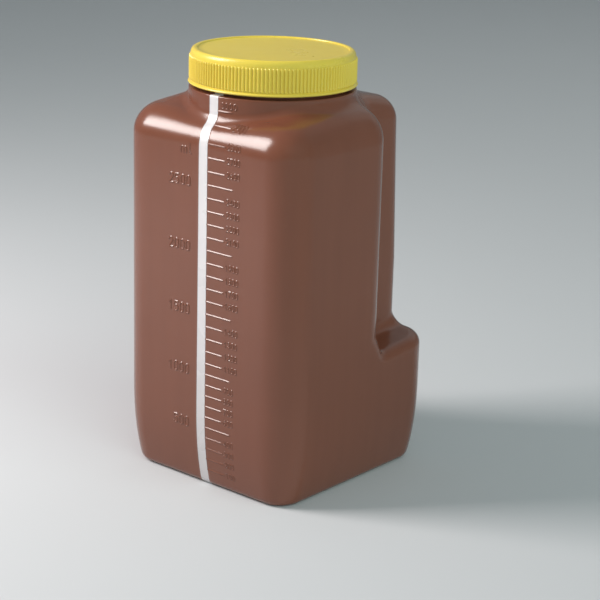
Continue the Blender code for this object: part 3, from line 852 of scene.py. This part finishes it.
    links.new(ripple.outputs["Fac"], ripple_bump.inputs["Height"])
    links.new(ripple_bump.outputs["Normal"], grain_bump.inputs["Normal"])
    links.new(grain_bump.outputs["Normal"], shader.inputs["Normal"])
    links.new(shader.outputs["BSDF"], output.inputs["Surface"])
    return material


def closed_cell_foam(name, colour):
    """Matt closed-cell foam with fine pores."""
    material = bpy.data.materials.new(name)
    material.use_nodes = True
    tree = material.node_tree
    nodes = tree.nodes
    links = tree.links
    nodes.clear()
    place = nodes.new("ShaderNodeTexCoord")
    place.label = "Place on the liner"
    cells = nodes.new("ShaderNodeTexVoronoi")
    cells.label = "Foam cells"
    mottle = nodes.new("ShaderNodeTexNoise")
    mottle.label = "Uneven foaming"
    tint = nodes.new("ShaderNodeValToRGB")
    tint.label = "Foam colour"
    dull = nodes.new("ShaderNodeMapRange")
    dull.label = "Matt, duller where denser"
    relief = nodes.new("ShaderNodeBump")
    relief.label = "Pore relief"
    shader = nodes.new("ShaderNodeBsdfPrincipled")
    shader.label = "Polyethylene foam"
    output = nodes.new("ShaderNodeOutputMaterial")
    lay_out(tree, [("Place", [place]), ("Colour", [mottle, tint]), ("Gloss", [dull]),
                   ("Relief", [cells, relief]), ("Surface", [shader, output])])
    cells.inputs["Scale"].default_value = 1600.0
    mottle.inputs["Scale"].default_value = 260.0
    mottle.inputs["Detail"].default_value = 3.0
    tint.color_ramp.elements[0].position = 0.3
    tint.color_ramp.elements[0].color = (*[channel * 0.9 for channel in colour], 1.0)
    tint.color_ramp.elements[1].position = 0.7
    tint.color_ramp.elements[1].color = (*colour, 1.0)
    dull.inputs["To Min"].default_value = 0.72
    dull.inputs["To Max"].default_value = 0.90
    relief.inputs["Strength"].default_value = 0.6
    relief.inputs["Distance"].default_value = 0.0002
    links.new(place.outputs["Object"], cells.inputs["Vector"])
    links.new(place.outputs["Object"], mottle.inputs["Vector"])
    links.new(mottle.outputs["Fac"], tint.inputs["Fac"])
    links.new(tint.outputs["Color"], shader.inputs["Base Color"])
    links.new(mottle.outputs["Fac"], dull.inputs["Value"])
    links.new(dull.outputs["Result"], shader.inputs["Roughness"])
    links.new(cells.outputs["Distance"], relief.inputs["Height"])
    links.new(relief.outputs["Normal"], shader.inputs["Normal"])
    links.new(shader.outputs["BSDF"], output.inputs["Surface"])
    return material


def pale_floor(name, colour):
    """Matt painted board with a very faint mottle."""
    material = bpy.data.materials.new(name)
    material.use_nodes = True
    tree = material.node_tree
    nodes = tree.nodes
    links = tree.links
    nodes.clear()
    place = nodes.new("ShaderNodeTexCoord")
    place.label = "Place on the floor"
    mottle = nodes.new("ShaderNodeTexNoise")
    mottle.label = "Roller mottle"
    tint = nodes.new("ShaderNodeValToRGB")
    tint.label = "Paint colour"
    shader = nodes.new("ShaderNodeBsdfPrincipled")
    shader.label = "Matt paint"
    output = nodes.new("ShaderNodeOutputMaterial")
    lay_out(tree, [("Place", [place]), ("Colour", [mottle, tint]), ("Surface", [shader, output])])
    mottle.inputs["Scale"].default_value = 6.0
    mottle.inputs["Detail"].default_value = 3.0
    tint.color_ramp.elements[0].color = (*[channel * 0.985 for channel in colour], 1.0)
    tint.color_ramp.elements[1].color = (*colour, 1.0)
    shader.inputs["Roughness"].default_value = 0.85
    shader.inputs["Specular IOR Level"].default_value = 0.2
    links.new(place.outputs["Object"], mottle.inputs["Vector"])
    links.new(mottle.outputs["Fac"], tint.inputs["Fac"])
    links.new(tint.outputs["Color"], shader.inputs["Base Color"])
    links.new(shader.outputs["BSDF"], output.inputs["Surface"])
    return material


def brown_plastic(finishes):
    """The body's plastic, made once and shared by everything moulded in it."""
    # Its colour is darkened towards the base as painted shade (the last argument).
    return (bpy.data.materials.get("brown_polyethylene")
            or moulded_plastic("brown_polyethylene", tuple(finishes.brown), roughness=0.22,
                               streaks=0.05, grain_depth=0.00003, glow=0.0, glow_reach=0.0005,
                               base_painted_shade=0.94))


class BOTTLE_OT_wall(bpy.types.Operator):
    """Blow the brown body and the milky strip down its front"""

    bl_idname = "bottle.wall"
    bl_label = "Body and sight strip"

    def execute(self, context):
        shape = context.scene.bottle_body
        finishes = context.scene.bottle_finishes
        columns = Columns()
        outer, inner = body_layers(shape, columns)
        cells = np.zeros((outer.shape[0] - 1, columns.count), bool)
        cells[STRIP_START_RING:, columns.strip_first:columns.strip_last] = True
        strip = wall_piece("milky_strip", outer, inner, cells)
        # The strip's colour carries a stronger painted shade towards the base (the last argument).
        strip.data.materials.append(
            moulded_plastic("milky_polyethylene", tuple(finishes.milky), roughness=0.28,
                            streaks=0.04, grain_depth=0.00003, glow=0.5, glow_reach=0.003,
                            base_painted_shade=0.78))
        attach(strip, "bottle")
        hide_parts("sight_strip")
        body = wall_piece("blown_body", outer, inner, ~cells)
        body.data.materials.append(brown_plastic(finishes))
        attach(body, "bottle")
        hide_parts("bottle")
        return {"FINISHED"}


class BOTTLE_OT_graduation(bpy.types.Operator):
    """Raise the scale's lines and figures on the front, at the heights that the bottle fills to"""

    bl_idname = "bottle.graduation"
    bl_label = "Graduation"

    def execute(self, context):
        shape = context.scene.bottle_body
        scale = context.scene.bottle_scale
        levels, fills = fill_levels(shape, Columns())
        lines = []
        small = []
        large = []
        edge = STRIP_HIGH[0] + EDGE_LINE_X
        for amount in range(scale.step, scale.capacity + 1, scale.step):
            z = float(np.interp(amount, fills, levels)) + UPPER_MARK_LIFT.get(amount, 0.0)
            is_long = amount % scale.long_every == 0
            reach = scale.long_line if is_long else scale.short_line
            if amount == scale.capacity:
                reach = TOP_LINE
            lines.append([(edge, z), (edge + reach, z)])
            if amount == scale.capacity:
                small += text_strokes(str(amount), edge + TOP_FIGURE_X, z + TOP_FIGURE_LIFT,
                                      scale.small_figure, SMALL_PITCH)
            elif is_long:
                wide = LARGE_PITCH * (len(str(amount)) - 1) + scale.large_figure * FIGURE_WIDTH
                large += text_strokes(str(amount), LARGE_FIGURE_END - wide,
                                      z - scale.large_figure / 2, scale.large_figure, LARGE_PITCH)
            else:
                small += text_strokes(str(amount), STRIP_HIGH[0] + SMALL_FIGURE_X,
                                      z - scale.small_figure / 2 + SMALL_FIGURE_LIFT,
                                      scale.small_figure, SMALL_PITCH)
        unit_z = float(np.interp(UNIT_AMOUNT, fills, levels))
        large += text_strokes("ml", LARGE_FIGURE_END - UNIT_WIDTH * scale.large_figure,
                              unit_z - scale.large_figure / 2, scale.large_figure, LARGE_PITCH)
        foot, top = (float(np.interp(amount, fills, levels))
                     for amount in (scale.step, scale.capacity))
        edge_line = [[(edge, foot), (edge, top)]]
        for name, groups in (("graduation_lines", [(lines, LINE_HALF), (edge_line, EDGE_LINE_HALF)]),
                             ("graduation_figures", [(small, SMALL_PEN_HALF),
                                                     (large, LARGE_PEN_HALF)])):
            marks = raised_marks(name, shape, groups, scale.relief)
            marks.data.materials.append(brown_plastic(context.scene.bottle_finishes))
            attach(marks, "bottle")
        return {"FINISHED"}


class BOTTLE_OT_cap(bpy.types.Operator):
    """Mould the ribbed yellow screw cap with its inner thread"""

    bl_idname = "bottle.cap"
    bl_label = "Screw cap"

    def execute(self, context):
        shape = context.scene.bottle_cap
        finishes = context.scene.bottle_finishes
        height = CAP_HIGH[2] - CAP_LOW[2]
        count = shape.rib_count * RIB_COLUMNS
        place = (np.arange(count) % RIB_COLUMNS) / RIB_COLUMNS
        aside = (place - 0.5) / RIB_HALF_SHARE
        floor = height - CAP_RECESS_DEPTH
        rings = [cap_ring(count, radius, floor) for radius in CAP_TOP_RADII]
        rings.append(cap_ring(count, CAP_RECESS_RADIUS - CAP_SOFT_EDGE, floor))
        rings.append(cap_ring(count, CAP_RECESS_RADIUS, floor + CAP_SOFT_EDGE * 0.5))
        rings.append(cap_ring(count, CAP_RECESS_RADIUS + CAP_SOFT_EDGE * 0.5,
                              height - CAP_SOFT_EDGE * 0.4))
        rings.append(cap_ring(count, CAP_RECESS_RADIUS + CAP_SOFT_EDGE, height))
        for angle in np.radians(np.linspace(0, 90, CAP_SHOULDER_RINGS)):
            radius = CAP_CREST_RADIUS + (shape.band_radius - CAP_CREST_RADIUS) * math.sin(angle)
            rings.append(cap_ring(count, radius, height - CAP_SHOULDER_DROP * (1 - math.cos(angle))))
        ends = RIB_END * np.array(RIB_END_STEPS)
        sides = np.linspace(RIB_TOP, RIB_BOTTOM, RIB_RINGS)[1:-1]
        heights = np.concatenate((RIB_TOP - ends, sides, RIB_BOTTOM + ends[::-1]))
        for z in heights:
            along = max(z - (RIB_TOP - RIB_END), (RIB_BOTTOM + RIB_END) - z, 0) / RIB_END
            lift = np.sqrt(np.maximum(1 - aside ** 2 - along ** 2, 0))
            rings.append(cap_ring(count, shape.band_radius
                                  + (shape.rib_radius - shape.band_radius) * lift, z))
        bead = CAP_BEAD_HEIGHT / 2
        for angle in np.radians(np.linspace(CAP_BEAD_ANGLE, -CAP_BEAD_ANGLE, CAP_BEAD_RINGS)):
            radius = shape.band_radius + (shape.bead_radius - shape.band_radius) * math.cos(angle)
            rings.append(cap_ring(count, radius, bead + bead * math.sin(angle)))
        rings.append(cap_ring(count, shape.band_radius - CAP_SOFT_EDGE, 0.0))
        rings.append(cap_ring(count, CAP_INNER_RADIUS + CAP_SOFT_EDGE, 0.0))
        turn = np.arange(count) / count
        turn = np.where(turn > 0.5, turn - 1, turn)
        for z in np.linspace(CAP_SOFT_EDGE, CAP_CEILING - CAP_SOFT_EDGE, CAP_THREAD_RINGS):
            ridge = thread_lift(turn, CAP_LOW[2] + z, CAP_THREAD_TURNS, THREAD_FOOT_Z + PITCH / 2)
            rings.append(cap_ring(count, CAP_INNER_RADIUS - CAP_THREAD_HEIGHT * ridge, z))
        for radius in (CAP_INNER_RADIUS - CAP_SOFT_EDGE, *CAP_CEILING_RADII):
            rings.append(cap_ring(count, radius, CAP_CEILING))
        cap = lathe("ribbed_cap", rings)
        cap.data.materials.append(
            moulded_plastic("yellow_polyethylene", tuple(finishes.yellow), roughness=0.30,
                            streaks=0.03, grain_depth=0.00002, glow=0.12, glow_reach=0.001,
                            base_painted_shade=1.0))
        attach(cap, "cap")
        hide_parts("screw_cap")
        return {"FINISHED"}


class BOTTLE_OT_liner(bpy.types.Operator):
    """Stamp the foam sealing liner inside the cap"""

    bl_idname = "bottle.liner"
    bl_label = "Sealing liner"

    def execute(self, context):
        low = LINER_LOW[2] - CAP_LOW[2]
        high = LINER_HIGH[2] - CAP_LOW[2]
        radius = (LINER_HIGH[0] - LINER_LOW[0]) / 2
        edge = LINER_EDGE
        innermost, between = LINER_RADII
        profile = [(innermost, low), (between, low), (BORE_RADIUS - edge, low),
                   (BORE_RADIUS, low + LINER_PRESSED), (NECK_RADIUS, low + LINER_PRESSED),
                   (NECK_RADIUS + edge, low), (radius - edge, low),
                   (radius, low + edge), (radius, high - edge), (radius - edge, high),
                   (between, high), (innermost, high)]
        liner = lathe("foam_liner", [cap_ring(LINER_COLUMNS, r, z) for r, z in profile])
        liner.data.materials.append(
            closed_cell_foam("white_foam", tuple(context.scene.bottle_finishes.foam)))
        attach(liner, "liner")
        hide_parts("cap_liner")
        return {"FINISHED"}


def soft_light(name, place, aim, width, height, power, colour, mirrored):
    """A softbox at a place, turned to face its aim; mirrored shows it in glossy surfaces."""
    data = bpy.data.lights.new(name, "AREA")
    data.shape = "RECTANGLE"
    data.size = width
    data.size_y = height
    data.energy = power
    data.color = colour
    lamp = bpy.data.objects.new(name, data)
    lamp.location = place
    lamp.rotation_euler = (Vector(place) - Vector(aim)).to_track_quat("Z", "Y").to_euler()
    lamp.visible_glossy = mirrored
    lamp.visible_camera = False
    bpy.context.scene.collection.objects.link(lamp)


class BOTTLE_OT_studio(bpy.types.Operator):
    """Set up the floor, the soft light and the camera"""

    bl_idname = "bottle.studio"
    bl_label = "Studio"

    def execute(self, context):
        studio = context.scene.bottle_studio
        centre = ((BODY_LOW[0] + BODY_HIGH[0]) / 2, (BODY_LOW[1] + BODY_HIGH[1]) / 2)
        rings = []
        for radius, z in FLOOR_PROFILE:
            angles = 2 * math.pi * np.arange(FLOOR_COLUMNS) / FLOOR_COLUMNS
            rings.append(np.column_stack((centre[0] + radius * np.cos(angles),
                                          centre[1] + radius * np.sin(angles),
                                          np.full(FLOOR_COLUMNS, BODY_LOW[2] + z))))
        faces = [tuple(range(FLOOR_COLUMNS))] + bands(len(rings), FLOOR_COLUMNS)
        floor = mesh_object("studio_floor", np.concatenate(rings), faces)
        floor.data.materials.append(pale_floor("pale_paint", tuple(studio.floor_colour)))
        middle = (centre[0], centre[1], BODY_HIGH[2] / 2)
        for name, place, width, height, power, colour, mirrored in LIGHTS:
            soft_light(name, place, middle, width, height, power, colour, mirrored)
        context.scene.view_settings.view_transform = "Standard"
        world = bpy.data.worlds.new("soft_daylight")
        world.use_nodes = True
        sky = world.node_tree.nodes["Background"]
        sky.inputs["Color"].default_value = (0.80, 0.82, 0.86, 1.0)
        sky.inputs["Strength"].default_value = 0.30
        context.scene.world = world
        back = Vector((math.cos(studio.elevation) * math.sin(studio.azimuth),
                       -math.cos(studio.elevation) * math.cos(studio.azimuth),
                       math.sin(studio.elevation)))
        right = Vector((math.cos(studio.azimuth), math.sin(studio.azimuth), 0))
        up = back.cross(right)
        level = right * math.cos(studio.roll) + up * math.sin(studio.roll)
        upright = up * math.cos(studio.roll) - right * math.sin(studio.roll)
        place = Vector(AIM_POINT) + back * studio.distance
        data = bpy.data.cameras.new("camera")
        data.lens = studio.lens
        camera = bpy.data.objects.new("camera", data)
        camera.matrix_world = Matrix(((level.x, upright.x, back.x, place.x),
                                      (level.y, upright.y, back.y, place.y),
                                      (level.z, upright.z, back.z, place.z),
                                      (0, 0, 0, 1)))
        context.scene.collection.objects.link(camera)
        context.scene.camera = camera
        return {"FINISHED"}


class BOTTLE_PT_sidebar(bpy.types.Panel):
    """Lists the sizes, the colours and the makers of the pieces"""

    bl_idname = "BOTTLE_PT_sidebar"
    bl_label = "Urine collection bottle"
    bl_space_type = "VIEW_3D"
    bl_region_type = "UI"
    bl_category = "Bottle"

    def draw(self, context):
        for title, settings, makers in (
                ("Body", "bottle_body", (BOTTLE_OT_wall,)),
                ("Graduation", "bottle_scale", (BOTTLE_OT_graduation,)),
                ("Cap", "bottle_cap", (BOTTLE_OT_cap, BOTTLE_OT_liner)),
                ("Finishes", "bottle_finishes", ()),
                ("Studio", "bottle_studio", (BOTTLE_OT_studio,))):
            box = self.layout.box()
            box.label(text=title)
            values = getattr(context.scene, settings)
            for field in values.bl_rna.properties.keys():
                if field not in ("rna_type", "name"):
                    box.prop(values, field)
            for maker in makers:
                box.operator(maker.bl_idname)


SETTINGS = {"bottle_body": BodyShape, "bottle_scale": ScaleShape, "bottle_cap": CapShape,
            "bottle_finishes": Finishes, "bottle_studio": Studio}
CLASSES = (BodyShape, ScaleShape, CapShape, Finishes, Studio, BOTTLE_OT_wall,
           BOTTLE_OT_graduation, BOTTLE_OT_cap, BOTTLE_OT_liner, BOTTLE_OT_studio,
           BOTTLE_PT_sidebar)


def register():
    for kind in CLASSES:
        bpy.utils.register_class(kind)
    for name, group in SETTINGS.items():
        setattr(bpy.types.Scene, name, PointerProperty(type=group))


def unregister():
    for name in SETTINGS:
        delattr(bpy.types.Scene, name)
    for kind in reversed(CLASSES):
        bpy.utils.unregister_class(kind)


def main():
    register()
    bpy.ops.bottle.wall()
    bpy.ops.bottle.graduation()
    bpy.ops.bottle.cap()
    bpy.ops.bottle.liner()
    bpy.ops.bottle.studio()


if __name__ == "__main__":
    main()
